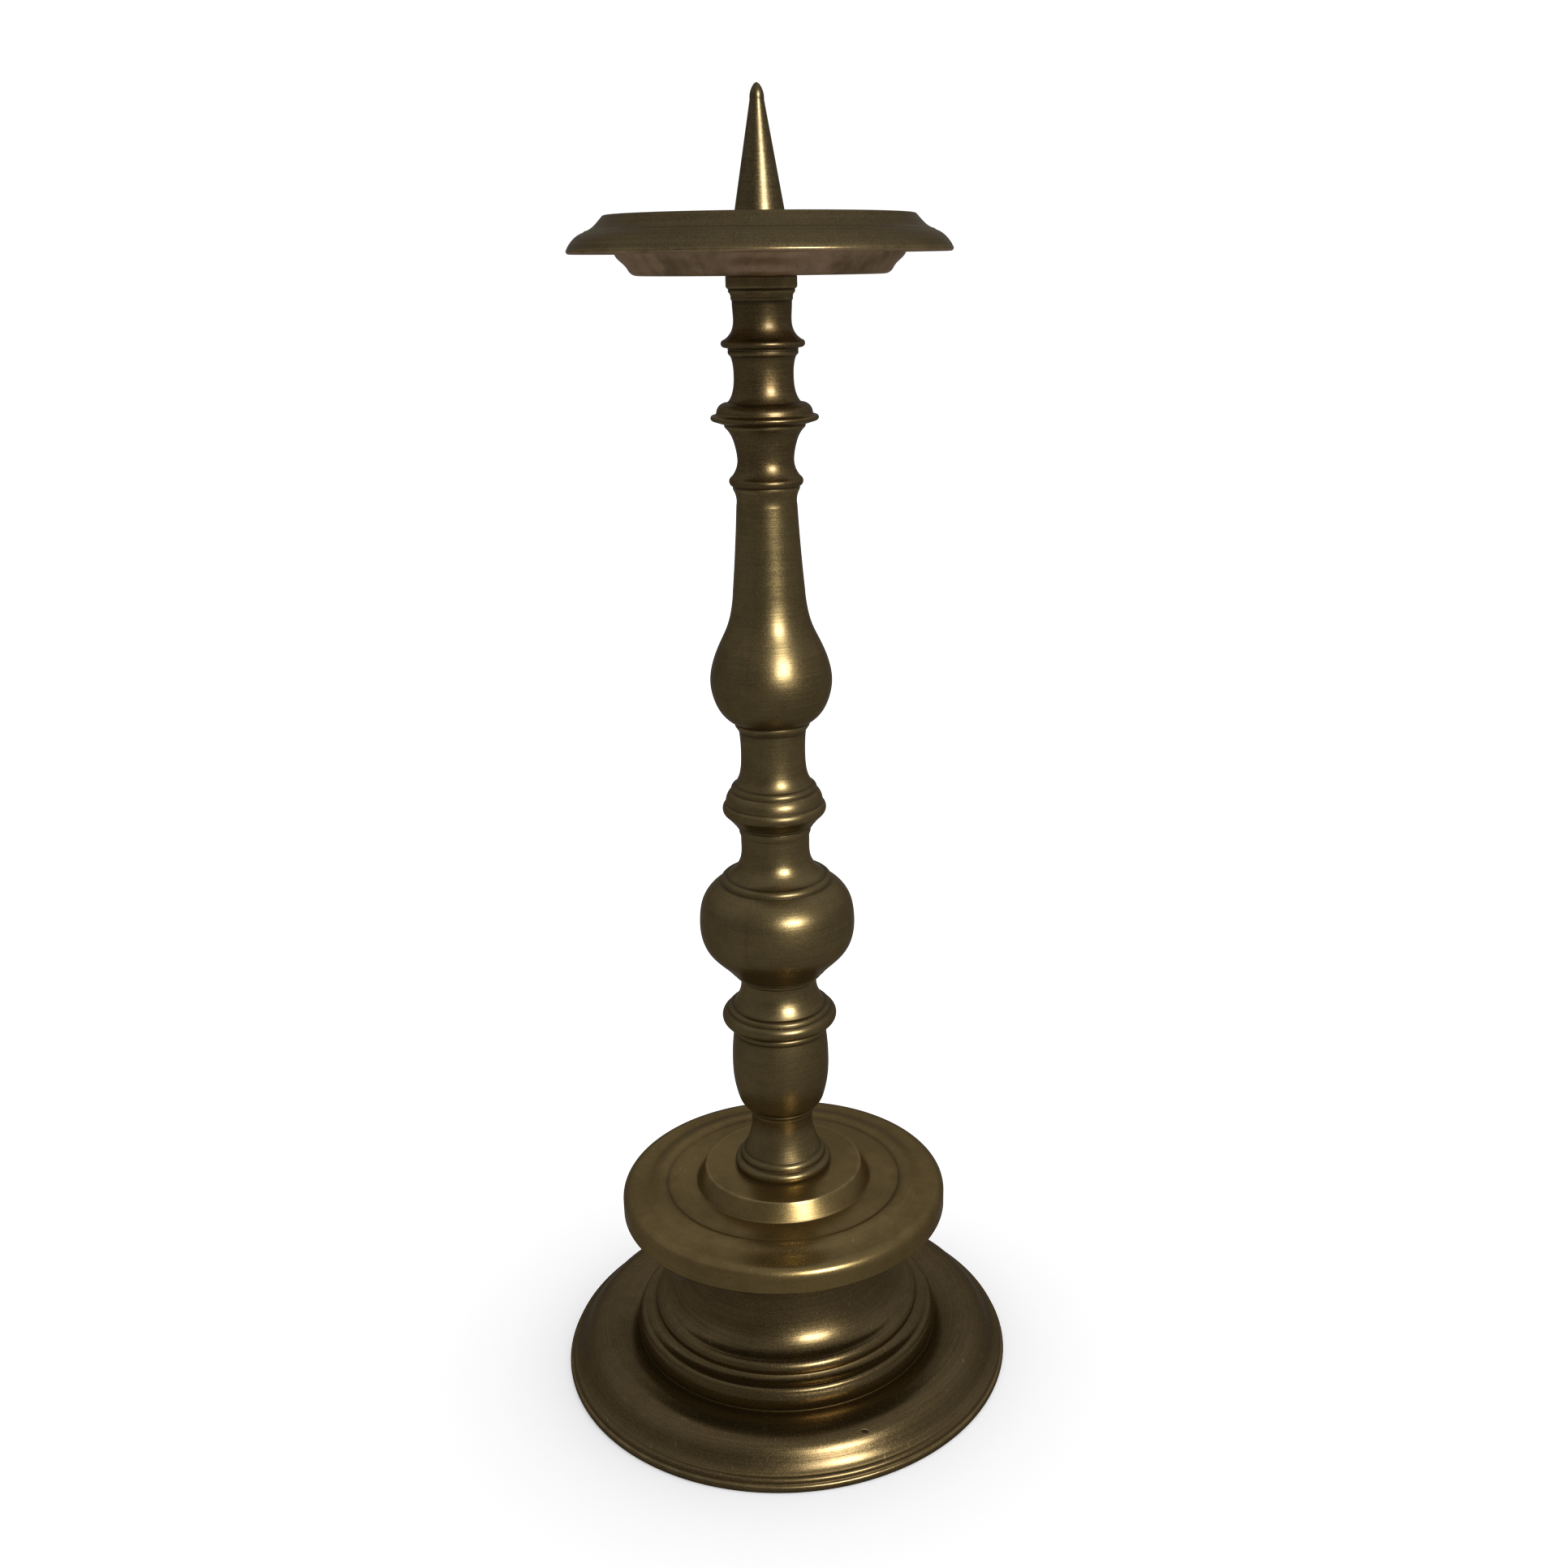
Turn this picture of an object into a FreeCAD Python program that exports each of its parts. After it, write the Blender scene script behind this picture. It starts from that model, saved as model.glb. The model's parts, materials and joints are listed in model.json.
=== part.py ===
"""Altar candlestick with a spike for the candle, turned in brass.

The stem is a stack of turned pieces. Each piece has a short spigot on top that enters a recess
under the next one. A steel tie rod runs up the middle, from a nut inside the hollow foot to a
round nut under the drip pan. The drip pan sits on that round nut, and the pricket screws down
on the end of the rod to hold it. Millimetres, +Z up, origin at the middle of the foot's underside.
"""
import FreeCAD, Part
import math
import os

# Heights of the stacked pieces, from the table upwards
FOOT_H = 57.2
PLATE_H = 15.4
BASE_SPOOL_H = 22.3
BARREL_H = 29.7
RING_KNOP_H = 17.6
GLOBE_H = 50.0
NECK_KNOP_H = 33.2
PEAR_H = 70.0
LOWER_SPOOL_H = 17.3
MIDDLE_SPOOL_H = 19.8
UPPER_SPOOL_H = 16.1
COLLAR_H = 3.6
PAN_FLOOR_T = 2.2
PRICKET_H = 45.6

# Largest radius of each visible piece
FOOT_R = 75.5
PLATE_R = 53.9
BARREL_R = 15.6
RING_KNOP_R = 18.3
GLOBE_R = 24.4
NECK_KNOP_R = 15.9
PEAR_R = 18.2
COLLAR_R = 9.9
PAN_R = 52.7
PAN_RIM_R = 41.3
PRICKET_BASE_R = 10.2

# Tie rod and what screws on it: an M8 thread, shown as a plain cylinder of its outside size
ROD_R = 4.0
THREAD_BORE_R = 4.05
CLEAR_BORE_R = 4.4
ROD_BOTTOM = 39.0
ROD_L = 330.0
ROD_CHAMFER = 0.8

# Spigots that centre one piece on the next
SPIGOT_R = 6.2
SPIGOT_H = 2.4
SOCKET_R = 6.25
SOCKET_D = 2.8

# Foot casting and its fasteners
FOOT_WEB_T = 4.0
WASHER_R = 15.0
WASHER_T = 2.0
LOCK_WASHER_R = 7.4
LOCK_WASHER_T = 2.0
LOCK_WASHER_SLIT = 1.2
SLIT_SLANT = 25
NUT_FLATS = 13.0
NUT_H = 6.5
NUT_CHAMFER = 0.7

# Blind threaded bore of the pricket, and where its cone gives way to the blunt tip
PRICKET_BORE_D = 15.6
DRILL_POINT_L = 2.0
BORE_CHAMFER = 0.6
TIP_R = 1.95
TIP_L = 4.2


def at(r, z):
    """Point in the XZ half plane at radius r and height z."""
    return FreeCAD.Vector(r, 0, z)


def outline(start, steps, lift=0.0):
    """Edges of a turned outline, raised by lift.

    A step is ("to", point) for a straight run, ("arc", middle, end) for an arc through the
    middle point, or ("curve", point, point, ...) for a smooth curve through every point.
    """
    edges = []
    here = at(start[0], start[1] + lift)
    for kind, *points in steps:
        path = [here] + [at(r, z + lift) for r, z in points]
        if kind == "to":
            edges.append(Part.LineSegment(path[0], path[1]).toShape())
        elif kind == "arc":
            edges.append(Part.Arc(*path).toShape())
        else:
            spline = Part.BSplineCurve()
            spline.interpolate(path)
            edges.append(spline.toShape())
        here = path[-1]
    return edges


def turn(edges):
    """Solid of revolution about Z from a closed chain of edges in the XZ half plane."""
    face = Part.Face(Part.Wire(Part.__sortEdges__(edges)))
    solid = face.revolve(at(0, 0), FreeCAD.Vector(0, 0, 1), 360)
    if solid.Volume < 0:
        solid.reverse()
    return solid


def stem_piece(bottom, height, start, steps, spigot=True):
    """Stacked stem piece: outer outline from foot to top, rod bore, socket below, spigot above."""
    edges = outline(start, steps, bottom)
    top = bottom + height
    outer_top = (edges[-1].Vertexes[-1].Point.x, top)
    inner = []
    if spigot:
        inner.append(("to", (SPIGOT_R, top)))
        inner.append(("to", (SPIGOT_R, top + SPIGOT_H)))
        inner.append(("to", (CLEAR_BORE_R, top + SPIGOT_H)))
    else:
        inner.append(("to", (CLEAR_BORE_R, top)))
    inner.append(("to", (CLEAR_BORE_R, bottom + SOCKET_D)))
    inner.append(("to", (SOCKET_R, bottom + SOCKET_D)))
    inner.append(("to", (SOCKET_R, bottom)))
    inner.append(("to", (start[0], bottom)))
    return turn(edges + outline(outer_top, inner))


def foot_base():
    """Hollow bell foot: convex skirt, two stepped beads, and a waisted neck closed by a web."""
    outside = [
        ("to", (FOOT_R - 0.4, 0)),
        ("arc", (FOOT_R, 1.1), (FOOT_R - 0.4, 2.2)),
        ("to", (74.4, 2.5)),
        ("arc", (74.4, 3.8), (73.1, 4.4)),
        ("to", (72.8, 4.7)),
        ("curve", (71.5, 5.9), (70.1, 7.9), (68.5, 10.2), (66.0, 12.1), (62.4, 13.1),
         (58.4, 13.0), (54.6, 12.1), (51.1, 10.9)),
        ("arc", (51.4, 14.2), (50.4, 17.2)),
        ("arc", (49.7, 18.3), (48.4, 18.6)),
        ("arc", (46.4, 18.7), (44.6, 19.9)),
        ("arc", (44.9, 22.4), (43.3, 24.1)),
        ("to", (42.8, 24.4)),
        ("curve", (38.4, 27.4), (35.3, 33.5), (34.0, 42.5), (34.6, 50.5), (36.5, FOOT_H)),
    ]
    top = [
        ("to", (SPIGOT_R, FOOT_H)),
        ("to", (SPIGOT_R, FOOT_H + SPIGOT_H)),
        ("to", (CLEAR_BORE_R, FOOT_H + SPIGOT_H)),
        ("to", (CLEAR_BORE_R, FOOT_H - FOOT_WEB_T)),
    ]
    inside = [
        ("to", (28.5, FOOT_H - FOOT_WEB_T)),
        ("arc", (30.3, 52.4), (31.0, 50.6)),
        ("curve", (30.6, 42.5), (32.0, 32.0), (35.6, 25.0), (40.6, 20.4)),
        ("to", (41.6, 16.4)),
        ("to", (47.4, 14.6)),
        ("to", (47.8, 6.6)),
        ("curve", (55.2, 7.4), (63.0, 9.0), (68.2, 6.0), (71.6, 0)),
    ]
    return turn(outline((71.6, 0), outside + top + inside))


def foot_plate():
    """Round plate on the foot: flat boss with a bevelled edge, a raised ring and a rounded rim."""
    under = [
        ("to", (13.0, 0)),
        ("to", (13.0, 5.2)),
        ("to", (29.0, 5.2)),
        ("to", (29.0, 0)),
        ("to", (37.0, 0)),
        ("to", (37.4, 4.2)),
        ("to", (49.0, 4.2)),
        ("to", (50.2, 0)),
    ]
    outside = [
        ("to", (PLATE_R - 0.8, 0)),
        ("arc", (PLATE_R - 0.2, 0.3), (PLATE_R, 1.0)),
        ("to", (PLATE_R, 5.4)),
        ("arc", (53.0, 7.7), (50.6, 8.9)),
        ("curve", (48.2, 9.0), (45.6, 9.3), (43.3, 10.2), (41.3, 10.6), (39.6, 10.2), (38.7, 9.5)),
        ("to", (29.1, 9.5)),
        ("to", (26.1, PLATE_H - 0.2)),
        ("to", (25.8, PLATE_H)),
    ]
    middle = [
        ("to", (SPIGOT_R, PLATE_H)),
        ("to", (SPIGOT_R, PLATE_H + SPIGOT_H)),
        ("to", (CLEAR_BORE_R, PLATE_H + SPIGOT_H)),
        ("to", (CLEAR_BORE_R, SOCKET_D)),
        ("to", (SOCKET_R, SOCKET_D)),
        ("to", (SOCKET_R, 0)),
    ]
    return turn(outline((SOCKET_R, 0), under + outside + middle, FOOT_H))


def base_spool(bottom):
    """Waisted spool with two beads that stands on the plate."""
    return stem_piece(bottom, BASE_SPOOL_H, (15.2, 0), [
        ("arc", (15.9, 1.4), (14.6, 3.3)),
        ("to", (14.0, 3.5)),
        ("arc", (13.8, 5.0), (12.7, 5.9)),
        ("curve", (11.4, 9.4), (10.2, 13.9), (10.0, 17.4), (10.3, 20.0)),
        ("arc", (10.6, 21.2), (11.3, 21.7)),
        ("to", (11.3, BASE_SPOOL_H)),
    ])


def barrel(bottom):
    """Barrel-shaped piece with a thin bead at its top."""
    return stem_piece(bottom, BARREL_H, (11.3, 0), [
        ("curve", (13.2, 2.1), (14.4, 5.6), (15.2, 9.6),
         (BARREL_R, 16.2), (15.3, 23.0), (14.8, 27.5)),
        ("to", (15.1, 27.8)),
        ("arc", (15.5, 28.8), (15.1, BARREL_H)),
    ])


def ring_knop(bottom):
    """Neck that spreads into a heavy ring."""
    return stem_piece(bottom, RING_KNOP_H, (15.1, 0), [
        ("to", (15.9, 0.6)),
        ("arc", (RING_KNOP_R, 3.5), (17.0, 5.4)),
        ("to", (16.6, 5.5)),
        ("arc", (16.1, 6.6), (14.9, 7.0)),
        ("curve", (13.5, 9.2), (12.4, 11.8), (12.0, 14.4), (12.2, 16.2)),
        ("to", (12.7, 16.9)),
        ("to", (12.7, RING_KNOP_H)),
    ])


def globe(bottom):
    """Squat globe under a flared neck, with a small bead where they meet."""
    return stem_piece(bottom, GLOBE_H, (12.9, 0), [
        ("arc", (14.0, 0.5), (14.5, 1.5)),
        ("to", (15.4, 2.1)),
        ("curve", (19.3, 6.2), (22.6, 10.1), (24.2, 15.0), (24.3, 20.2),
         (23.0, 26.1), (20.6, 29.5), (17.7, 31.7)),
        ("to", (17.3, 31.8)),
        ("arc", (16.9, 33.3), (15.5, 33.9)),
        ("curve", (13.0, 35.8), (11.1, 38.9), (10.5, 43.4), (10.6, 47.2)),
        ("to", (11.0, 48.3)),
        ("to", (11.0, GLOBE_H)),
    ])


def neck_knop(bottom):
    """Slim neck over a knop of two beads and a fillet, with a thin disc at the very top."""
    return stem_piece(bottom, NECK_KNOP_H, (11.2, 0), [
        ("arc", (11.9, 0.5), (12.1, 1.2)),
        ("to", (12.6, 1.5)),
        ("curve", (13.9, 3.0), (15.3, 4.4)),
        ("arc", (NECK_KNOP_R, 5.8), (15.2, 7.6)),
        ("to", (14.9, 7.7)),
        ("arc", (14.5, 10.0), (13.4, 11.6)),
        ("to", (13.1, 11.7)),
        ("arc", (12.9, 13.0), (12.0, 13.7)),
        ("curve", (10.9, 15.4), (10.1, 18.1), (9.75, 22.4), (9.8, 26.8), (10.1, 30.6)),
        ("to", (11.3, 32.4)),
        ("to", (11.3, NECK_KNOP_H)),
    ])


def pear(bottom):
    """Pear-shaped knop drawn up into a long taper."""
    return stem_piece(bottom, PEAR_H, (11.0, 0), [
        ("curve", (12.9, 1.1), (15.2, 3.4), (17.3, 7.6), (PEAR_R, 13.2), (17.3, 18.5),
         (15.0, 24.3), (12.6, 29.4), (11.2, 34.6), (10.55, 40.0)),
        ("curve", (9.65, 50.6), (8.75, 64.6)),
        ("arc", (8.8, 67.2), (9.4, 68.8)),
        ("to", (9.6, 69.2)),
        ("to", (9.6, PEAR_H)),
    ])


def lower_spool(bottom):
    """Short concave spool with a narrow bead at its foot."""
    return stem_piece(bottom, LOWER_SPOOL_H, (9.6, 0), [
        ("arc", (10.6, 1.5), (9.9, 2.6)),
        ("curve", (8.8, 4.2), (8.1, 6.6), (8.15, 8.5), (8.7, 11.4), (9.6, 14.0), (11.0, 16.0)),
        ("to", (11.5, 16.5)),
        ("to", (11.5, LOWER_SPOOL_H)),
    ])


def middle_spool(bottom):
    """Concave spool that ends below in a wide sharp-edged bead."""
    return stem_piece(bottom, MIDDLE_SPOOL_H, (11.8, 0), [
        ("to", (14.7, 0.9)),
        ("arc", (15.3, 1.6), (14.9, 2.3)),
        ("arc", (13.9, 2.6), (13.6, 3.3)),
        ("arc", (12.8, 4.9), (11.2, 5.7)),
        ("to", (10.4, 5.9)),
        ("curve", (9.4, 7.4), (8.7, 9.7), (8.45, 13.0), (8.7, 16.4), (9.2, 18.2)),
        ("to", (9.9, 18.9)),
        ("to", (9.9, MIDDLE_SPOOL_H)),
    ])


def upper_spool(bottom):
    """Top spool of the stem with a thin bead below and a small flange for the round nut."""
    return stem_piece(bottom, UPPER_SPOOL_H, (9.9, 0), [
        ("to", (9.9, 0.6)),
        ("to", (10.5, 0.8)),
        ("arc", (11.8, 1.8), (11.3, 2.7)),
        ("curve", (9.8, 3.7), (8.6, 5.5), (8.17, 9.2), (8.35, 13.0)),
        ("to", (8.7, 13.5)),
        ("arc", (8.8, 14.7), (9.3, 15.3)),
        ("to", (9.3, UPPER_SPOOL_H)),
    ], spigot=False)


def collar_nut(bottom):
    """Round threaded collar that clamps the stem and carries the drip pan."""
    steps = [
        ("to", (9.4, 0)),
        ("to", (COLLAR_R, 0.5)),
        ("to", (COLLAR_R, COLLAR_H - 0.4)),
        ("to", (COLLAR_R - 0.4, COLLAR_H)),
        ("to", (THREAD_BORE_R, COLLAR_H)),
        ("to", (THREAD_BORE_R, 0)),
    ]
    return turn(outline((THREAD_BORE_R, 0), steps, bottom))


def drip_pan(bottom):
    """Thin dish with a raised rim and an apron that curves down and outwards from it."""
    under = [
        ("to", (33.8, 0)),
        ("arc", (35.1, 0.3), (36.2, 1.3)),
        ("curve", (37.4, 2.9), (39.3, 4.7), (40.6, 8.4), (41.9, 11.9)),
    ]
    apron = [
        ("curve", (44.2, 11.2), (46.4, 10.0), (48.6, 8.9), (50.2, 7.2), (50.9, 5.8)),
        ("to", (51.8, 5.6)),
        ("arc", (52.5, 5.9), (PAN_R, 6.5)),
        ("curve", (51.6, 8.3), (49.9, 10.0), (47.8, 11.1)),
        ("to", (47.4, 11.4)),
        ("curve", (45.6, 12.2), (43.9, 13.7), (42.5, 15.2)),
        ("arc", (42.0, 15.4), (PAN_RIM_R, 15.3)),
    ]
    inside = [
        ("curve", (40.3, 12.4), (39.1, 8.6), (37.3, 5.4), (35.0, 3.2)),
        ("arc", (33.9, 2.4), (32.6, PAN_FLOOR_T)),
        ("to", (CLEAR_BORE_R, PAN_FLOOR_T)),
        ("to", (CLEAR_BORE_R, 0)),
    ]
    return turn(outline((CLEAR_BORE_R, 0), under + apron + inside, bottom))


def pricket(bottom):
    """Round spike with a blunt tip, a small bead at its foot and a blind threaded bore."""
    steps = [
        ("to", (9.5, 0)),
        ("arc", (PRICKET_BASE_R, 1.0), (9.5, 2.0)),
        ("to", (8.95, 2.3)),
        ("to", (TIP_R, PRICKET_H - TIP_L)),
        ("arc", (1.6, PRICKET_H - 1.9), (0.7, PRICKET_H - 0.4)),
        ("to", (0, PRICKET_H)),
        ("to", (0, PRICKET_BORE_D + DRILL_POINT_L)),
        ("to", (THREAD_BORE_R, PRICKET_BORE_D)),
        ("to", (THREAD_BORE_R, BORE_CHAMFER)),
        ("to", (THREAD_BORE_R + BORE_CHAMFER, 0)),
    ]
    return turn(outline((THREAD_BORE_R + BORE_CHAMFER, 0), steps, bottom))


def tie_rod():
    """Steel rod with chamfered ends that holds the whole stem together."""
    steps = [
        ("to", (ROD_R - ROD_CHAMFER, 0)),
        ("to", (ROD_R, ROD_CHAMFER)),
        ("to", (ROD_R, ROD_L - ROD_CHAMFER)),
        ("to", (ROD_R - ROD_CHAMFER, ROD_L)),
        ("to", (0, ROD_L)),
        ("to", (0, 0)),
    ]
    return turn(outline((0, 0), steps, ROD_BOTTOM))


def ring(outer_r, inner_r, thickness, bottom):
    """Flat washer."""
    disc = Part.makeCylinder(outer_r, thickness, at(0, bottom))
    hole = Part.makeCylinder(inner_r, thickness, at(0, bottom))
    return disc.cut(hole)


def lock_washer(bottom):
    """Spring washer, split by a slanted slit."""
    washer = ring(LOCK_WASHER_R, THREAD_BORE_R, LOCK_WASHER_T, bottom)
    slit = Part.makeBox(LOCK_WASHER_R * 2, LOCK_WASHER_SLIT, LOCK_WASHER_T * 4)
    slit.translate(FreeCAD.Vector(0, -LOCK_WASHER_SLIT / 2, bottom - LOCK_WASHER_T * 1.5))
    slit.rotate(at(0, bottom + LOCK_WASHER_T / 2), FreeCAD.Vector(1, 0, 0), SLIT_SLANT)
    return washer.cut(slit)


def hex_nut(bottom):
    """Hexagon nut with its corners chamfered on both faces."""
    corner_r = NUT_FLATS / 2 / math.cos(math.pi / 6)
    corners = []
    for i in range(7):
        angle = math.pi / 3 * i
        corners.append(FreeCAD.Vector(corner_r * math.cos(angle), corner_r * math.sin(angle), bottom))
    prism = Part.Face(Part.makePolygon(corners)).extrude(FreeCAD.Vector(0, 0, NUT_H))
    trim = turn(outline((0, 0), [
        ("to", (corner_r - NUT_CHAMFER, 0)),
        ("to", (corner_r, NUT_CHAMFER / 2)),
        ("to", (corner_r, NUT_H - NUT_CHAMFER / 2)),
        ("to", (corner_r - NUT_CHAMFER, NUT_H)),
        ("to", (0, NUT_H)),
        ("to", (0, 0)),
    ], bottom))
    bore = Part.makeCylinder(THREAD_BORE_R, NUT_H, at(0, bottom))
    return prism.common(trim).cut(bore)


parts = {"foot_base": foot_base(), "foot_plate": foot_plate()}

# Stem pieces stand one on the other, from the plate up
stem = [
    ("base_spool", base_spool, BASE_SPOOL_H),
    ("barrel", barrel, BARREL_H),
    ("ring_knop", ring_knop, RING_KNOP_H),
    ("globe", globe, GLOBE_H),
    ("neck_knop", neck_knop, NECK_KNOP_H),
    ("pear", pear, PEAR_H),
    ("lower_spool", lower_spool, LOWER_SPOOL_H),
    ("middle_spool", middle_spool, MIDDLE_SPOOL_H),
    ("upper_spool", upper_spool, UPPER_SPOOL_H),
    ("collar_nut", collar_nut, COLLAR_H),
    ("drip_pan", drip_pan, PAN_FLOOR_T),
    ("pricket", pricket, PRICKET_H),
]
level = FOOT_H + PLATE_H
for name, make, height in stem:
    parts[name] = make(level)
    level += height

# Rod, and the washers and nut that pull against the foot's web from inside the hollow foot
parts["tie_rod"] = tie_rod()
level = FOOT_H - FOOT_WEB_T - WASHER_T
parts["foot_washer"] = ring(WASHER_R, CLEAR_BORE_R, WASHER_T, level)
level -= LOCK_WASHER_T
parts["lock_washer"] = lock_washer(level)
level -= NUT_H
parts["foot_nut"] = hex_nut(level)

os.makedirs("parts", exist_ok=True)
for name, shape in parts.items():
    shape.exportStep("parts/" + name + ".step")
    print(name, "valid" if shape.isValid() else "NOT VALID", round(shape.Volume), "mm3")
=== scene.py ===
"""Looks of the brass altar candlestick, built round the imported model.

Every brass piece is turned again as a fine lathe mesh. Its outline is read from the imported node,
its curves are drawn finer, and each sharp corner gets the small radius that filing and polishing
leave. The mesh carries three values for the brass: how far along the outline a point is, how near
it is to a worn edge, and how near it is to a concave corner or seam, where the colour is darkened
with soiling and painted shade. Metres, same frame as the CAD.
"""

import json
import math
from types import SimpleNamespace

import bmesh
import bpy
import numpy as np
from mathutils import Matrix, Vector

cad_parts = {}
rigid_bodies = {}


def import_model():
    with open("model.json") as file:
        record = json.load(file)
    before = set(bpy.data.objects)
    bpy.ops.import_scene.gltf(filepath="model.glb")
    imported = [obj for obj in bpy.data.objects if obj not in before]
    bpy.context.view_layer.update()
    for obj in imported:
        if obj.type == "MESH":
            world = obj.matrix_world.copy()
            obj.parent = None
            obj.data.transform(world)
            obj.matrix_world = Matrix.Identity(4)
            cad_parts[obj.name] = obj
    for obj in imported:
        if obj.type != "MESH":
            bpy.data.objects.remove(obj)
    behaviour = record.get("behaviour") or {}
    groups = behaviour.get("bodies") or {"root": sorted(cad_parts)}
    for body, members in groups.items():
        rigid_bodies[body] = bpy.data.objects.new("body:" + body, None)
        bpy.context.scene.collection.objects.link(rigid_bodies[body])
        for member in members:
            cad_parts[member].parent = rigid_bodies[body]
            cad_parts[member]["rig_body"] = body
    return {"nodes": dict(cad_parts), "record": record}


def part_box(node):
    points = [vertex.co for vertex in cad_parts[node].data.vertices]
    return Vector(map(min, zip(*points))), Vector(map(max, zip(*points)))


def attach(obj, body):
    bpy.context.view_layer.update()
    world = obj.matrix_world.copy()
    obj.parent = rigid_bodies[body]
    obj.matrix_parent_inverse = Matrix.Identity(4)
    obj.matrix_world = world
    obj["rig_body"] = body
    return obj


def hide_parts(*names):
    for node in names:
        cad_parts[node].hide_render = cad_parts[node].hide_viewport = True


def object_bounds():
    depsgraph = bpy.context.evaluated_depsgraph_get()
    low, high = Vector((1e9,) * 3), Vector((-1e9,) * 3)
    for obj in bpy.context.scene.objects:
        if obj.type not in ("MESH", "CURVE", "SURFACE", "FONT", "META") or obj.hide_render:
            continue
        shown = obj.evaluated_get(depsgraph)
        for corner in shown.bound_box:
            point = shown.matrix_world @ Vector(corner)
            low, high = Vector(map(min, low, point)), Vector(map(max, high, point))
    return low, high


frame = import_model()
cad_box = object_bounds()

MM = 0.001
SLOT_OF = {s["node"]: s["material_slot"] for s in frame["record"]["subparts"]}
BRASS_NODES = sorted(n for n in frame["nodes"] if SLOT_OF[n] != "steel")

# Turned outlines
SAME_POINT = 0.002 * MM
CORNER_TURN = math.radians(24)
EDGE_RADIUS = 0.22 * MM
LONG_RATIO = 4.0
CLOSE_MARKS = np.array([0.0, 0.1, 0.25, 0.5, 0.9]) * MM
MARK_STEP = 1.3 * MM
MARK_GAP = 0.06 * MM
CUT_GAP = 0.015 * MM
ROUND_SHARE = 0.4
ROUND_STEPS = 4
WORN_REACH = 0.45 * MM
DIRT_AND_SHADE_REACH = 0.55 * MM
SEAM_REACH = 0.35 * MM
SEAM_DULLS = 0.8
JOINT_REACH = 0.3 * MM
STEPS_AROUND = {"foot_base": 156, "foot_plate": 200, "drip_pan": 200, "globe": 192}
STEM_STEPS = 144

# Tie rod thread, M8
THREAD_PITCH = 1.25 * MM
THREAD_DEPTH = 0.65 * MM
THREAD_BOTTOM_L = 36 * MM
THREAD_TOP_L = 30 * MM
THREAD_MARKS = 8
SHANK_MARK = 6 * MM
GROOVE_SLOPE = 2.6
ROD_CHAMFER = 0.8 * MM
ROD_AROUND = 32

# Base colours of the brass, linear: a light and a dark one for each finish
OLIVE, OLIVE_DARK = (0.216, 0.159, 0.066), (0.138, 0.098, 0.036)
BROWN, BROWN_DARK = (0.138, 0.092, 0.034), (0.092, 0.059, 0.020)
GOLDEN, GOLDEN_DARK = (0.300, 0.208, 0.075), (0.198, 0.130, 0.041)
DUSKY, DUSKY_DARK = (0.134, 0.099, 0.042), (0.090, 0.063, 0.025)
# lighter colour for what faces down: a painted reflection of the floor, with a pinkish tint
UNDERSIDE_TINT_AND_REFLECTION = (0.62, 0.41, 0.275)

# Colours of the marks on it
RED_STREAK = (0.17, 0.082, 0.03)
RUBBED_LINE = (0.42, 0.31, 0.15)
DARK_SPOT = (0.05, 0.03, 0.014)
BRIGHT_GRAIN = (0.36, 0.27, 0.13)
WORN_EDGE = (0.50, 0.37, 0.17)
# soiling and painted shade, darkening concave corners and seams
GROOVE_DIRT_AND_SHADE = (0.035, 0.022, 0.010)
SCRATCHED = (0.55, 0.42, 0.22)
PIT_DARK = (0.03, 0.015, 0.007)
GLANCING = (0.42, 0.34, 0.22, 1.0)

# Sizes of the patterns, in marks per metre
FINE_LINES = 2300.0
BROAD_LINES = 620.0
STREAK_LENGTHS = 16.0
CLOUDS = 26.0
MOTTLES = 210.0
SPECKS = 1500.0
GRAINS = 2700.0
SCRATCH_STRETCH = (1500.0, 240.0, 300.0)
SCRATCH_TURNS = ((0.5, 0.9, 0.7), (1.9, 0.3, -0.8))
BUMP_DEPTH = 0.03 * MM
MOTTLE_DEPTH = 0.08 * MM

# The small casting pit on the foot
PIT_PLACE = (23.5 * MM, -62.5 * MM, 11.8 * MM)
PIT_STRETCH = (0.55, 1.6, 1.0)
PIT_INNER = 0.7 * MM
PIT_OUTER = 1.3 * MM
PIT_RAGGED = 0.6 * MM

# Studio and camera. The camera stands in the plane x = 0, and its angles are in radians
FLOOR_RADIUS = 4.0
LIGHT_DROP = 20 * MM
CAMERA_HEIGHT = 0.3558
CAMERA_DISTANCE = 0.4654
CAMERA_TURN = 0.0404
CAMERA_TILT = 0.3612
CAMERA_ROLL = -0.0107
CAMERA_LENS = 36.49
CAMERA_SHIFT = (-0.0331, 0.0487)


# ---------------------------------------------------------------- outlines

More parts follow.
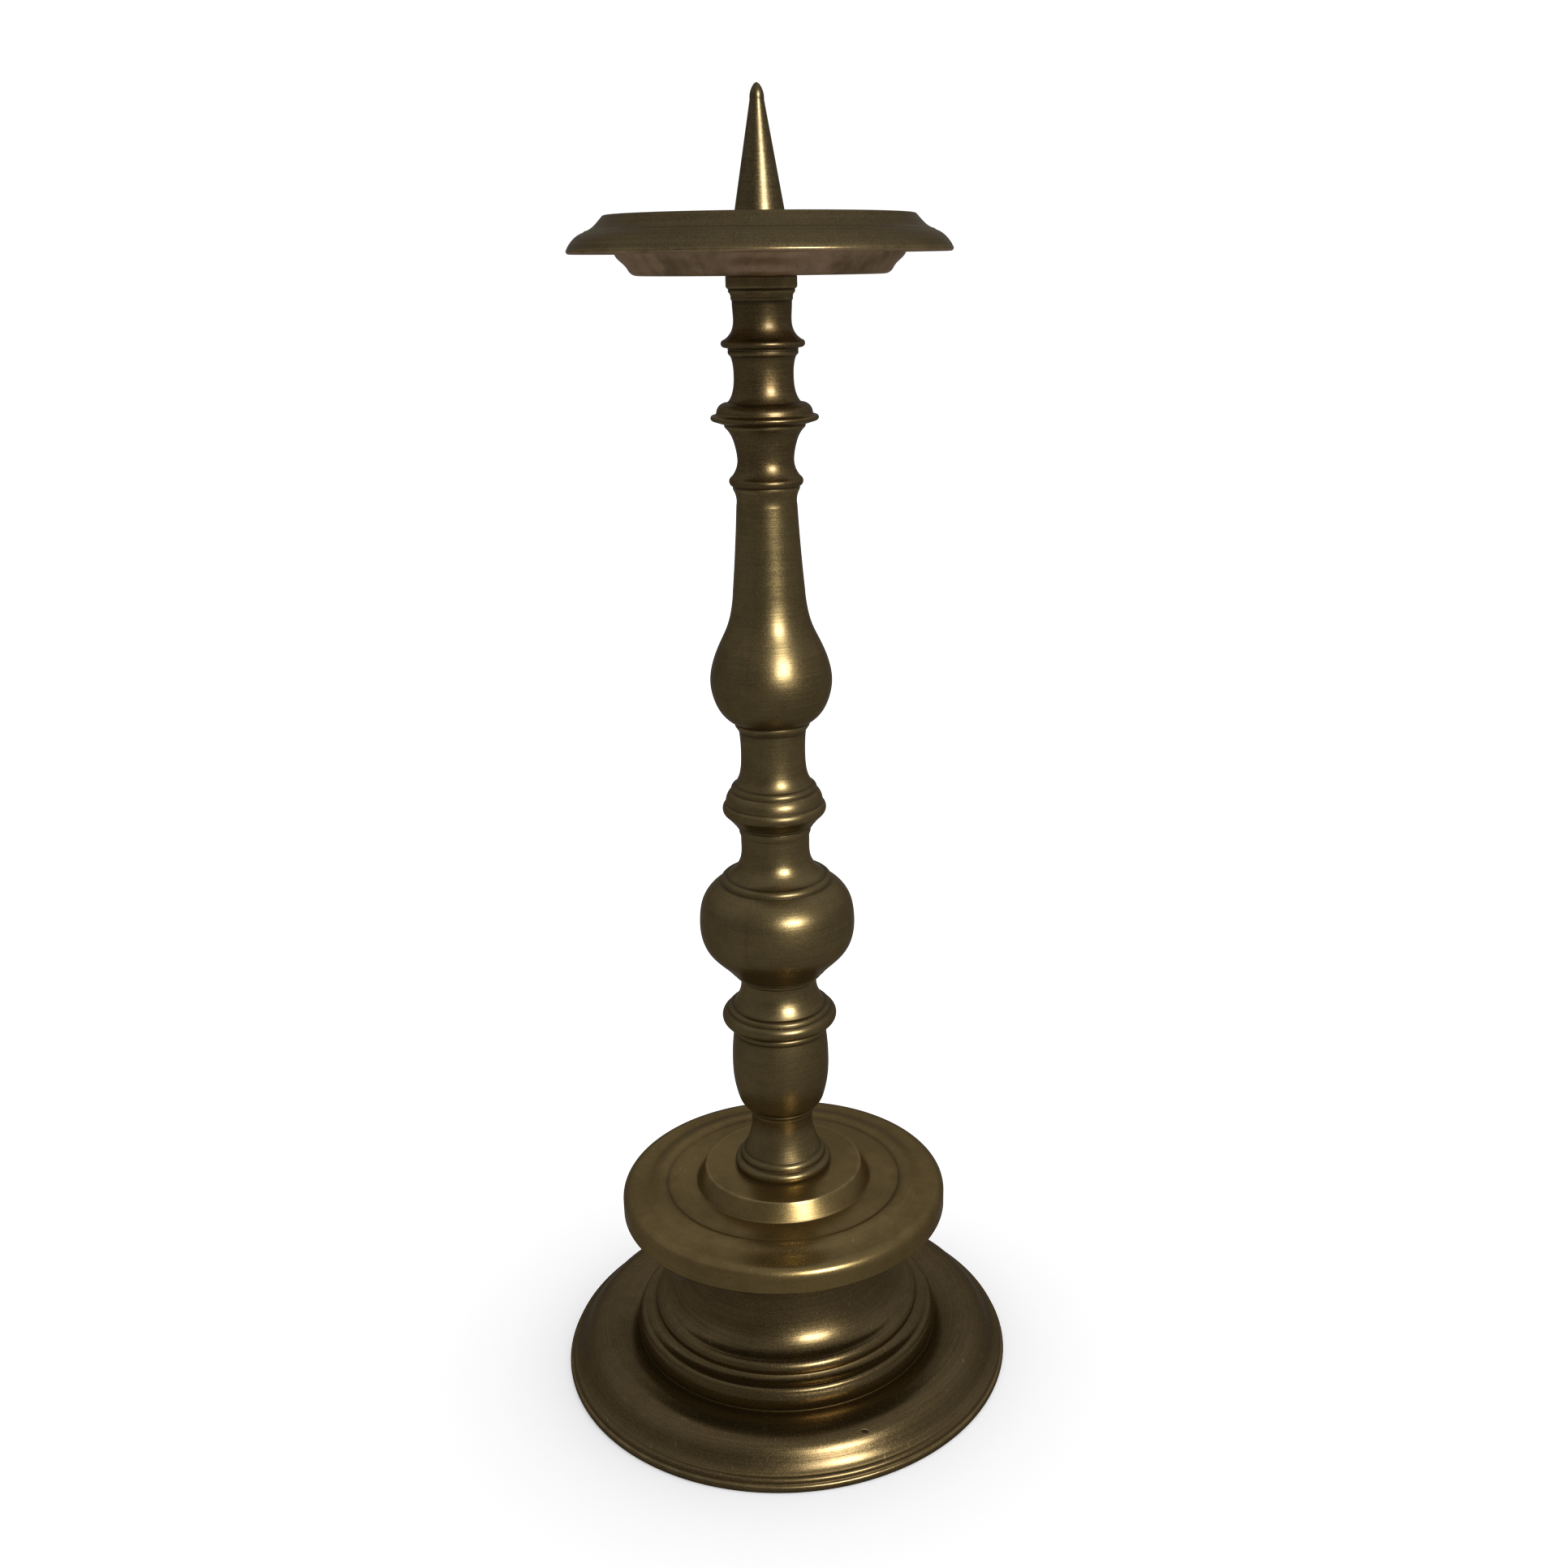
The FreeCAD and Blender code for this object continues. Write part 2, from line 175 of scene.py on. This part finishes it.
def section(node):
    """Outline of a turned node in the half plane y = 0, x >= 0, as (radius, height) in order.

    It is closed, or runs from axis to axis. Returns (points, closed).
    """
    bm = bmesh.new()
    bm.from_mesh(frame["nodes"][node].data)
    bmesh.ops.remove_doubles(bm, verts=bm.verts, dist=SAME_POINT)
    links = {}
    for edge in bm.edges:
        a, b = edge.verts
        if max(abs(a.co.y), abs(b.co.y)) < SAME_POINT and min(a.co.x, b.co.x) > -SAME_POINT:
            links.setdefault(a.index, set()).add(b.index)
            links.setdefault(b.index, set()).add(a.index)
    bm.verts.index_update()
    bm.verts.ensure_lookup_table()
    place = {i: (bm.verts[i].co.x, bm.verts[i].co.z) for i in links}
    bm.free()
    # a flat face has no edge along the half plane, so its two circles are joined here
    loose = [i for i in links if len(links[i]) == 1 and place[i][0] > SAME_POINT]
    loose.sort(key=lambda i: (round(place[i][1], 5), place[i][0]))
    for a, b in zip(loose[::2], loose[1::2]):
        links[a].add(b)
        links[b].add(a)
    ends = [i for i in links if len(links[i]) == 1]
    here = ends[0] if ends else min(links)
    order, seen = [here], {here}
    while True:
        ahead = [i for i in links[here] if i not in seen]
        if not ahead:
            break
        here = min(ahead)
        order.append(here)
        seen.add(here)
    if len(order) != len(links):
        raise ValueError(f"{len(order)} of the {len(links)} outline points of {node} join up")
    return np.array([place[i] for i in order]), not ends


def arc_lengths(path):
    return np.r_[0.0, np.cumsum(np.hypot(*np.diff(path, axis=0).T))]


def drawn_finer(path):
    """A smooth curve through the points of one stretch, with close marks near both its ends."""
    run = arc_lengths(path)
    total = run[-1]
    even = np.arange(1, total / MARK_STEP) * MARK_STEP
    marks = np.r_[CLOSE_MARKS, total - CLOSE_MARKS, even]
    if len(path) > 2:
        marks = np.r_[marks, run, (run[1:] + run[:-1]) / 2]
    marks = np.unique(np.clip(marks, 0.0, total))
    kept = [0.0]
    for mark in marks[1:]:
        if mark - kept[-1] > MARK_GAP and total - mark > MARK_GAP:
            kept.append(mark)
    marks = np.array(kept + [total])
    slopes = np.gradient(path, run, axis=0)
    k = np.clip(np.searchsorted(run, marks, side="right") - 1, 0, len(run) - 2)
    h = (run[k + 1] - run[k])[:, None]
    t = (marks - run[k])[:, None] / h
    # cubic Hermite curve between neighbouring points
    start = path[k] * (2 * t**3 - 3 * t**2 + 1) + slopes[k] * h * (t**3 - 2 * t**2 + t)
    return start + path[k + 1] * (3 * t**2 - 2 * t**3) + slopes[k + 1] * h * (t**3 - t**2)


def cut_back(path, start, end):
    """The stretch of a path from arc length start to end."""
    run = arc_lengths(path)
    inner = path[(run > start + CUT_GAP) & (run < end - CUT_GAP)]
    ends = [[np.interp(d, run, path[:, 0]), np.interp(d, run, path[:, 1])] for d in (start, end)]
    return np.vstack([ends[:1], inner, ends[1:]])


def corners(points, closed):
    """For each point: is it sharp, does a smooth stretch stop there, and its bend.

    The bend is an angle, positive at a convex corner.
    """
    if closed:
        before, after = np.roll(points, 1, axis=0), np.roll(points, -1, axis=0)
    else:
        before = points[[0, *range(len(points) - 1)]]
        after = points[[*range(1, len(points)), -1]]
    d_in, d_out = points - before, after - points
    cross = d_in[:, 0] * d_out[:, 1] - d_in[:, 1] * d_out[:, 0]
    bend = np.arctan2(cross, (d_in * d_out).sum(axis=1))
    l_in, l_out = np.hypot(*d_in.T), np.hypot(*d_out.T)
    ratio = np.maximum(l_in, l_out) / np.maximum(np.minimum(l_in, l_out), 1e-9)
    sharp = np.abs(bend) > CORNER_TURN
    stops = sharp | (ratio > LONG_RATIO)
    if not closed:
        sharp[[0, -1]] = False
        stops[[0, -1]] = True
    # an outline that runs anticlockwise turns left, which is positive, at its convex corners
    x, z = points.T
    area = (x * np.roll(z, -1) - np.roll(x, -1) * z).sum()
    return sharp, stops, bend * np.sign(area)


def nearness(points, tips, reach):
    """1 at a tip, and fading with the distance from the nearest one."""
    if not len(tips):
        return np.zeros(len(points))
    apart = (points[:, None, :] - np.array(tips)[None]).transpose(2, 0, 1)
    return np.exp(-np.hypot(*apart).min(axis=1) / reach)


def turned_outline(node):
    """Fine outline of a node, with small radii at its sharp corners.

    Returns (points, values, closed). The values are run, worn and dirt_and_shade at each point.
    """
    points, closed = section(node)
    sharp, stops, bend = corners(points, closed)
    at = np.flatnonzero(stops)
    if closed:
        points = np.roll(points, -at[0], axis=0)
        sharp, bend, stops = (np.roll(v, -at[0]) for v in (sharp, bend, stops))
        points = np.vstack([points, points[:1]])
        sharp, bend = np.r_[sharp, sharp[0]], np.r_[bend, bend[0]]
        at = np.r_[np.flatnonzero(stops), len(stops)]
    spans = list(zip(at[:-1], at[1:]))
    pieces = [drawn_finer(points[a:b + 1]) for a, b in spans]
    lengths = [arc_lengths(piece)[-1] for piece in pieces]
    out, convex, concave = [], [], []
    for n, (a, b) in enumerate(spans):
        onward = (n + 1) % len(pieces)
        room_before, room_after = (
            min(EDGE_RADIUS, ROUND_SHARE * lengths[n], ROUND_SHARE * lengths[other])
            for other in (n - 1, onward))
        start = room_before if sharp[a] else 0.0
        end = lengths[n] - (room_after if sharp[b] else 0.0)
        stretch = cut_back(pieces[n], start, end)
        last_of_open = onward == 0 and not closed
        out.extend(stretch if sharp[b] or last_of_open else stretch[:-1])
        if sharp[b]:
            tip = points[b]
            goal = cut_back(pieces[onward], room_after, lengths[onward])[0]
            for step in range(1, ROUND_STEPS):
                t = step / ROUND_STEPS
                out.append(stretch[-1] * (1 - t) ** 2 + tip * 2 * t * (1 - t) + goal * t**2)
            (convex if bend[b] > 0 else concave).append(tip)
    out = np.array(out)
    seam = nearness(out, SEAMS, SEAM_REACH)
    worn = nearness(out, convex, WORN_REACH) * (1 - seam * SEAM_DULLS)
    # darkening at concave corners and seams: soiling and painted shade in the crease
    dirt_and_shade = np.maximum(nearness(out, concave, DIRT_AND_SHADE_REACH), seam)
    return out, {"run": arc_lengths(out), "worn": worn, "dirt_and_shade": dirt_and_shade}, closed


def stand_in(bm, name, node):
    """Object made of a finished bmesh that takes the place of a CAD node."""
    mesh = bpy.data.meshes.new(name)
    bm.to_mesh(mesh)
    bm.free()
    piece = bpy.data.objects.new(name, mesh)
    bpy.context.scene.collection.objects.link(piece)
    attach(piece, frame["nodes"][node]["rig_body"])
    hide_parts(node)
    return piece


def turned(node, steps):
    """Lathe mesh of a node, closed, that stands for it and rides on its body."""
    outline, values, closed = turned_outline(node)
    bm = bmesh.new()
    layers = {key: bm.verts.layers.float.new(key) for key in values}
    rings = []
    for i, (r, z) in enumerate(outline):
        if r < SAME_POINT:
            ring = [bm.verts.new((0, 0, z))]
        else:
            angles = (2 * math.pi * j / steps for j in range(steps))
            ring = [bm.verts.new((r * math.cos(a), r * math.sin(a), z)) for a in angles]
        for key, layer in layers.items():
            for v in ring:
                v[layer] = values[key][i]
        rings.append(ring)
    pairs = list(zip(rings, rings[1:])) + ([(rings[-1], rings[0])] if closed else [])
    for a, b in pairs:
        for j in range(steps):
            k = (j + 1) % steps
            corners = [a[j % len(a)], a[k % len(a)], b[k % len(b)], b[j % len(b)]]
            bm.faces.new(list(dict.fromkeys(corners))).smooth = True
    bmesh.ops.recalc_face_normals(bm, faces=bm.faces)
    return stand_in(bm, f"{node}_turned", node)


# ---------------------------------------------------------------- materials

class Graph:
    """A node tree with short calls for the nodes that it is made of."""

    def __init__(self, tree):
        self.nodes = tree.nodes
        self.links = tree.links

    def put(self, socket, value):
        if isinstance(value, bpy.types.NodeSocket):
            self.links.new(value, socket)
        else:
            socket.default_value = value

    def node(self, kind, **inputs):
        made = self.nodes.new(kind)
        for key, value in inputs.items():
            self.put(made.inputs[key], value)
        return made

    def math(self, operation, a, b=0.0, clamp=False):
        made = self.nodes.new("ShaderNodeMath")
        made.operation = operation
        made.use_clamp = clamp
        self.put(made.inputs[0], a)
        self.put(made.inputs[1], b)
        return made.outputs[0]

    def plus(self, a, b):
        return self.math("ADD", a, b)

    def minus(self, a, b, clamp=False):
        return self.math("SUBTRACT", a, b, clamp)

    def times(self, a, b):
        return self.math("MULTIPLY", a, b)

    def vector(self, operation, a, b=(0.0, 0.0, 0.0), output="Vector"):
        made = self.nodes.new("ShaderNodeVectorMath")
        made.operation = operation
        self.put(made.inputs[0], a)
        self.put(made.inputs[1], b)
        return made.outputs[output]

    def value(self, name):
        made = self.nodes.new("ShaderNodeAttribute")
        made.attribute_name = name
        return made.outputs["Fac"]

    def noise(self, vector, scale, detail=2.0, roughness=0.5):
        made = self.node("ShaderNodeTexNoise", Vector=vector, Scale=scale, Detail=detail,
                         Roughness=roughness)
        return made.outputs["Fac"]

    def band(self, fac, low, high, to_low=0.0, to_high=1.0):
        """fac between low and high, eased and mapped onto to_low .. to_high."""
        made = self.nodes.new("ShaderNodeMapRange")
        made.interpolation_type = "SMOOTHSTEP"
        for socket, value in zip(made.inputs, (fac, low, high, to_low, to_high)):
            self.put(socket, value)
        return made.outputs[0]

    def mix(self, fac, a, b):
        """Colour a, turning into colour b as fac goes from 0 to 1."""
        made = self.nodes.new("ShaderNodeMix")
        made.data_type = "RGBA"
        for name, value in (("Factor", fac), ("A", a), ("B", b)):
            socket = next(s for s in made.inputs if s.name == name and s.enabled)
            ready = isinstance(value, (float, bpy.types.NodeSocket))
            self.put(socket, value if ready else (*value, 1.0))
        return next(s for s in made.outputs if s.enabled)

    def bump(self, height, strength, distance, normal=None):
        made = self.node("ShaderNodeBump", Height=height, Strength=strength, Distance=distance)
        if normal is not None:
            self.links.new(normal, made.inputs["Normal"])
        return made.outputs[0]


class Shade(Graph):
    """A node material."""

    def __init__(self, name):
        self.material = bpy.data.materials.new(name)
        self.material.use_nodes = True
        super().__init__(self.material.node_tree)
        self.surface = self.nodes["Principled BSDF"]

    def connect(self, color, roughness, normal, **constants):
        """Connect the surface. Spaces in the names of other inputs are written as underscores."""
        self.put(self.surface.inputs["Base Color"], color)
        self.put(self.surface.inputs["Roughness"], roughness)
        if normal is not None:
            self.put(self.surface.inputs["Normal"], normal)
        for key, value in constants.items():
            self.surface.inputs[key.replace("_", " ")].default_value = value
        return self.material


def brass_patterns(s, seed):
    """What varies over a brass piece, each from 0 to 1. The seed shifts the blotches."""
    place = s.node("ShaderNodeTexCoord").outputs["Object"]
    moved = s.vector("ADD", place, (seed * 0.37, seed * 0.11, 0.0))
    spoke = s.vector("NORMALIZE", s.vector("MULTIPLY", place, (1.0, 1.0, 0.0)))
    along = s.node("ShaderNodeCombineXYZ", X=0.0, Y=0.0, Z=s.value("run")).outputs[0]

    def lathed(around, per_metre, detail, roughness):
        """Noise with one rate of change round the axis and another along the outline."""
        where = s.vector("ADD", s.vector("MULTIPLY", spoke, (around, around, 0.0)),
                         s.vector("MULTIPLY", along, (0.0, 0.0, per_metre)))
        return s.noise(where, 1.0, detail, roughness)

    cloud = s.noise(moved, CLOUDS, 4.0, 0.6)
    mottle = s.noise(moved, MOTTLES, 3.0, 0.6)
    # scratches are thin bands of a stretched, tilted noise
    marks = []
    for turn in SCRATCH_TURNS:
        tilt = s.node("ShaderNodeMapping", Vector=moved, Rotation=turn, Scale=SCRATCH_STRETCH)
        marks.append(s.band(s.noise(tilt.outputs[0], 1.0, 1.0), 0.755, 0.785))
    return SimpleNamespace(
        place=place,
        worn=s.value("worn"),
        dirt_and_shade=s.value("dirt_and_shade"),
        fine=lathed(0.9, FINE_LINES, 3.0, 0.65),
        broad=lathed(0.5, BROAD_LINES, 2.0, 0.5),
        streak=s.band(lathed(9.0, STREAK_LENGTHS, 4.0, 0.62), 0.53, 0.74),
        mottle=mottle,
        speck=s.noise(moved, SPECKS, 2.0, 0.5),
        grain=s.noise(moved, GRAINS, 3.0, 0.65),
        tone=s.plus(s.times(cloud, 0.7), s.times(mottle, 0.3)),
        scratch=s.times(s.math("MAXIMUM", *marks), s.band(cloud, 0.46, 0.58)),
    )


def painted_underside_reflection(s, tone):
    """How far a surface faces down, uneven with the patina: where the painted floor reflection
    goes.
    """
    facing = s.node("ShaderNodeSeparateXYZ",
                    Vector=s.node("ShaderNodeTexCoord").outputs["Normal"])
    return s.times(s.band(facing.outputs[2], -0.35, 0.0, 1.0, 0.0),
                   s.band(tone, 0.35, 0.62, 0.25, 1.0))


def brass(name, light, dark, seed, streaks=0.35, scratches=0.25, rough=0.33, lines=1.0,
          grime_and_shade=0.75, pit=None, under=None):
    """Aged satin brass: lathe lines round the axis, blotched patina, streaks, wear, soiling,
    painted shade.

    pit is the place of one dark hole; under is a painted floor reflection, pinkish, on what faces
    down.
    """
    s = Shade(name)
    p = brass_patterns(s, seed)

    color = s.mix(s.band(p.tone, 0.36, 0.64), dark, light)
    # faces that look down take the underside colour, a painted reflection of the floor
    if under is not None:
        color = s.mix(painted_underside_reflection(s, p.tone), color, under)
    color = s.mix(s.times(p.streak, streaks), color, RED_STREAK)
    color = s.mix(s.times(s.band(p.fine, 0.35, 0.75), 0.18), color, RUBBED_LINE)
    color = s.mix(s.times(s.band(p.speck, 0.66, 0.72), 0.45), color, DARK_SPOT)
    color = s.mix(s.band(p.grain, 0.42, 0.68, 0.0, 0.35), color, BRIGHT_GRAIN)
    bare = s.times(p.worn, s.band(p.mottle, 0.3, 0.65, 0.35, 1.0))
    color = s.mix(s.times(bare, 0.6), color, WORN_EDGE)
    # concave corners and seams darkened: soiling and painted shade
    color = s.mix(s.times(p.dirt_and_shade, grime_and_shade), color, GROOVE_DIRT_AND_SHADE)
    color = s.mix(s.times(p.scratch, scratches), color, SCRATCHED)

    gloss = s.band(p.tone, 0.3, 0.7, rough + 0.07, rough - 0.05)
    gloss = s.plus(gloss, s.times(s.minus(p.broad, 0.5), 0.10))
    gloss = s.plus(gloss, s.times(s.minus(p.grain, 0.5), 0.30))
    gloss = s.plus(gloss, s.times(p.dirt_and_shade, 0.25))
    gloss = s.minus(gloss, s.times(p.worn, 0.06), clamp=True)

    height = s.plus(s.times(p.fine, 0.9 * lines), s.times(p.broad, 0.7 * lines))
    height = s.minus(height, s.times(p.scratch, 0.4 * scratches))
    height = s.minus(height, s.times(s.band(p.speck, 0.68, 0.74), 0.5))
    if pit is not None:
        offset = s.vector("MULTIPLY", s.vector("SUBTRACT", p.place, pit), PIT_STRETCH)
        away = s.plus(s.vector("LENGTH", offset, output="Value"), s.times(p.mottle, PIT_RAGGED))
        hole = s.band(away, PIT_INNER, PIT_OUTER, 1.0, 0.0)
        color = s.mix(hole, color, PIT_DARK)
        gloss = s.plus(gloss, s.times(hole, 0.4))
        height = s.minus(height, s.times(hole, 6.0))
    normal = s.bump(height, 0.6, BUMP_DEPTH)
    normal = s.bump(p.grain, 0.4, BUMP_DEPTH, normal)
    normal = s.bump(p.mottle, 0.3, MOTTLE_DEPTH, normal)

    tangent = s.nodes.new("ShaderNodeTangent")
    tangent.direction_type = "RADIAL"
    tangent.axis = "Z"
    s.links.new(tangent.outputs[0], s.surface.inputs["Tangent"])
    return s.connect(color, gloss, normal, Metallic=0.85, Specular_Tint=GLANCING,
                    Coat_Weight=0.28, Coat_Roughness=0.24,
                    Anisotropic=0.10, Anisotropic_Rotation=0.25)


def steel():
    """Dull zinc-plated steel with a slight yellow cast and rust specks."""
    s = Shade("steel_plated")
    place = s.node("ShaderNodeTexCoord").outputs["Object"]
    cloud = s.noise(place, 120.0, 4.0, 0.6)
    grain = s.noise(place, 900.0, 3.0, 0.6)
    color = s.mix(s.band(cloud, 0.35, 0.65), (0.30, 0.29, 0.26), (0.46, 0.45, 0.42))
    color = s.mix(s.band(grain, 0.62, 0.72, 0.0, 0.7), color, (0.12, 0.05, 0.02))
    return s.connect(color, s.band(grain, 0.3, 0.7, 0.32, 0.55), s.bump(grain, 0.3, 0.05 * MM),
                    Metallic=1.0)


# ---------------------------------------------------------------- pieces

STREAKED_NODES = ("lower_spool", "middle_spool", "upper_spool")
STACK = ("foot_base", "foot_plate", "base_spool", "barrel", "ring_knop", "globe", "neck_knop",
         "pear", *STREAKED_NODES, "collar_nut", "drip_pan", "pricket")


def widest_at(node, level):
    """Largest radius of a node's outline close to one height."""
    points = section(node)[0]
    return points[np.abs(points[:, 1] - level) < JOINT_REACH, 0].max()


def seams():
    """Where each joint of the stack shows on the outside, as (radius, height)."""
    found = []
    for lower, upper in zip(STACK, STACK[1:]):
        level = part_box(upper)[0].z
        found.append((min(widest_at(lower, level), widest_at(upper, level)), level))
    return found


SEAMS = seams()
FINISH = {
    "brass_foot": brass("brass_foot", BROWN, BROWN_DARK, 1.0, streaks=0.25, scratches=0.5,
                        rough=0.29, grime_and_shade=0.08, pit=PIT_PLACE),
    "brass_plate": brass("brass_plate", GOLDEN, GOLDEN_DARK, 2.0, streaks=0.15, scratches=0.6,
                         rough=0.30, grime_and_shade=0.4),
    "brass_stem": brass("brass_stem", OLIVE, OLIVE_DARK, 3.0, streaks=0.4, rough=0.34, lines=1.6),
    "brass_pan": brass("brass_pan", DUSKY, DUSKY_DARK, 4.0, streaks=0.3, rough=0.34,
                       under=UNDERSIDE_TINT_AND_REFLECTION),
    "brass_pricket": brass("brass_pricket", DUSKY, DUSKY_DARK, 5.0, streaks=0.2, scratches=1.0,
                           rough=0.35),
}
# The three spools at the top keep more of the reddish lacquer than the rest of the stem
STREAKED = brass("brass_stem_streaked", BROWN, BROWN_DARK, 6.0, streaks=0.85, rough=0.36)

for node in BRASS_NODES:
    piece = turned(node, STEPS_AROUND.get(node, STEM_STEPS))
    piece.data.materials.append(STREAKED if node in STREAKED_NODES else FINISH[SLOT_OF[node]])


def threaded_rod():
    """Tie rod with a cut thread at both ends and a plain shank between them."""
    low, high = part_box("tie_rod")
    crest = (high.x - low.x) / 2
    shank_low, shank_high = low.z + THREAD_BOTTOM_L, high.z - THREAD_TOP_L
    fine = THREAD_PITCH / THREAD_MARKS
    levels = [low.z, low.z + ROD_CHAMFER]
    while levels[-1] < high.z - ROD_CHAMFER - fine:
        z = levels[-1]
        on_shank = shank_low <= z <= shank_high - SHANK_MARK
        levels.append(z + (SHANK_MARK if on_shank else fine))
    levels.append(high.z)
    bm = bmesh.new()
    rings = []
    for z in levels:
        cut = min(1.0, max(shank_low - z, z - shank_high, 0.0) / THREAD_PITCH)
        chamfer = max(0.0, ROD_CHAMFER - min(z - low.z, high.z - z))
        ring = []
        for j in range(ROD_AROUND):
            phase = (z / THREAD_PITCH - j / ROD_AROUND) % 1.0
            groove = max(0.0, 1.0 - abs(phase - 0.5) * GROOVE_SLOPE)
            r = crest - max(THREAD_DEPTH * groove * cut, chamfer)
            angle = 2 * math.pi * j / ROD_AROUND
            ring.append(bm.verts.new((r * math.cos(angle), r * math.sin(angle), z)))
        rings.append(ring)
    for a, b in zip(rings, rings[1:]):
        for j in range(ROD_AROUND):
            k = (j + 1) % ROD_AROUND
            bm.faces.new([a[j], a[k], b[k], b[j]]).smooth = True
    bm.faces.new(rings[0][::-1])
    bm.faces.new(rings[-1])
    return stand_in(bm, "threaded_tie_rod", "tie_rod")


STEEL = steel()
threaded_rod().data.materials.append(STEEL)
for node in ("foot_washer", "lock_washer", "foot_nut"):
    frame["nodes"][node].data.materials.clear()
    frame["nodes"][node].data.materials.append(STEEL)


# ---------------------------------------------------------------- studio

def studio_floor():
    """Large pale disc under the object. It catches the soft shadow."""
    bpy.ops.mesh.primitive_circle_add(vertices=96, radius=FLOOR_RADIUS, fill_type="NGON",
                                      location=(0, 0, 0))
    floor = bpy.context.object
    floor.name = "floor"
    s = Shade("floor_pale")
    place = s.node("ShaderNodeTexCoord").outputs["Object"]
    color = s.mix(s.noise(place, 30.0, 3.0), (0.66, 0.65, 0.62), (0.70, 0.69, 0.66))
    floor.data.materials.append(s.connect(color, 0.8, None, Specular_IOR_Level=0.2))
    floor.is_shadow_catcher = True


def window(name, azimuth, elevation, distance, width, height, watts, color):
    """Rectangular soft light that faces the middle of the object. Azimuth 0 is in front of it.

    Only reflections show it, so it gives the metal its highlights and leaves the floor alone.
    """
    middle = Vector((0, 0, (cad_box[0][2] + cad_box[1][2]) / 2 - LIGHT_DROP))
    a, e = math.radians(azimuth), math.radians(elevation)
    away = Vector((math.sin(a) * math.cos(e), -math.cos(a) * math.cos(e), math.sin(e)))
    light = bpy.data.lights.new(name, "AREA")
    light.shape = "RECTANGLE"
    light.size, light.size_y = width, height
    light.energy, light.color = watts, color
    lamp = bpy.data.objects.new(name, light)
    bpy.context.scene.collection.objects.link(lamp)
    lamp.location = middle + away * distance
    lamp.rotation_mode = "QUATERNION"
    lamp.rotation_quaternion = away.to_track_quat("Z", "Y")
    lamp.visible_camera = False
    lamp.visible_diffuse = False


def room(backdrop, light_up, light_side, dark, near_side):
    """Plain white behind the object, and a dim soft room for the metal to reflect."""
    world = bpy.data.worlds.new("studio")
    bpy.context.scene.world = world
    world.use_nodes = True
    g = Graph(world.node_tree)
    seen = g.nodes["Background"]
    seen.inputs["Color"].default_value = (backdrop, backdrop, backdrop, 1.0)
    way = g.nodes.new("ShaderNodeTexCoord")
    split = g.nodes.new("ShaderNodeSeparateXYZ")
    g.links.new(way.outputs["Generated"], split.inputs[0])
    total = g.plus(g.band(split.outputs["Z"], -0.3, 1.0, dark, light_up),
                   g.band(split.outputs["X"], -0.3, 1.0, dark, light_side))
    # the side that the camera stands on is the dimmest
    ahead = g.band(split.outputs["Y"], -1.0, -0.2, near_side, 1.0)
    lit = g.node("ShaderNodeBackground", Strength=g.times(total, ahead))
    path = g.nodes.new("ShaderNodeLightPath")
    pick = g.nodes.new("ShaderNodeMixShader")
    g.links.new(path.outputs["Is Camera Ray"], pick.inputs[0])
    g.links.new(lit.outputs[0], pick.inputs[1])
    g.links.new(seen.outputs[0], pick.inputs[2])
    g.links.new(pick.outputs[0], g.nodes["World Output"].inputs[0])


def camera():
    """Camera level with the drip pan, looking down at the foot."""
    across = math.cos(CAMERA_TILT)
    forward = Vector((math.sin(CAMERA_TURN) * across, math.cos(CAMERA_TURN) * across,
                      -math.sin(CAMERA_TILT)))
    level = Vector((math.cos(CAMERA_TURN), -math.sin(CAMERA_TURN), 0.0))
    upright = level.cross(forward)
    right = level * math.cos(CAMERA_ROLL) + upright * math.sin(CAMERA_ROLL)
    up = upright * math.cos(CAMERA_ROLL) - level * math.sin(CAMERA_ROLL)
    data = bpy.data.cameras.new("camera")
    data.sensor_width = 36.0
    data.lens = CAMERA_LENS
    data.shift_x, data.shift_y = CAMERA_SHIFT
    data.clip_start, data.clip_end = 0.01, 50.0
    made = bpy.data.objects.new("camera", data)
    bpy.context.scene.collection.objects.link(made)
    facing = Matrix((right, up, -forward)).transposed().to_4x4()
    made.matrix_world = Matrix.Translation((0.0, -CAMERA_DISTANCE, CAMERA_HEIGHT)) @ facing
    bpy.context.scene.camera = made


studio_floor()
room(backdrop=1.10, light_up=0.38, light_side=0.15, dark=0.085, near_side=0.60)
window("window_key", azimuth=26, elevation=26, distance=1.5, width=0.52, height=0.27,
       watts=20.0, color=(1.0, 0.99, 0.96))
camera()
scene = bpy.context.scene
scene.view_settings.view_transform = "Standard"
scene.view_settings.look = "None"
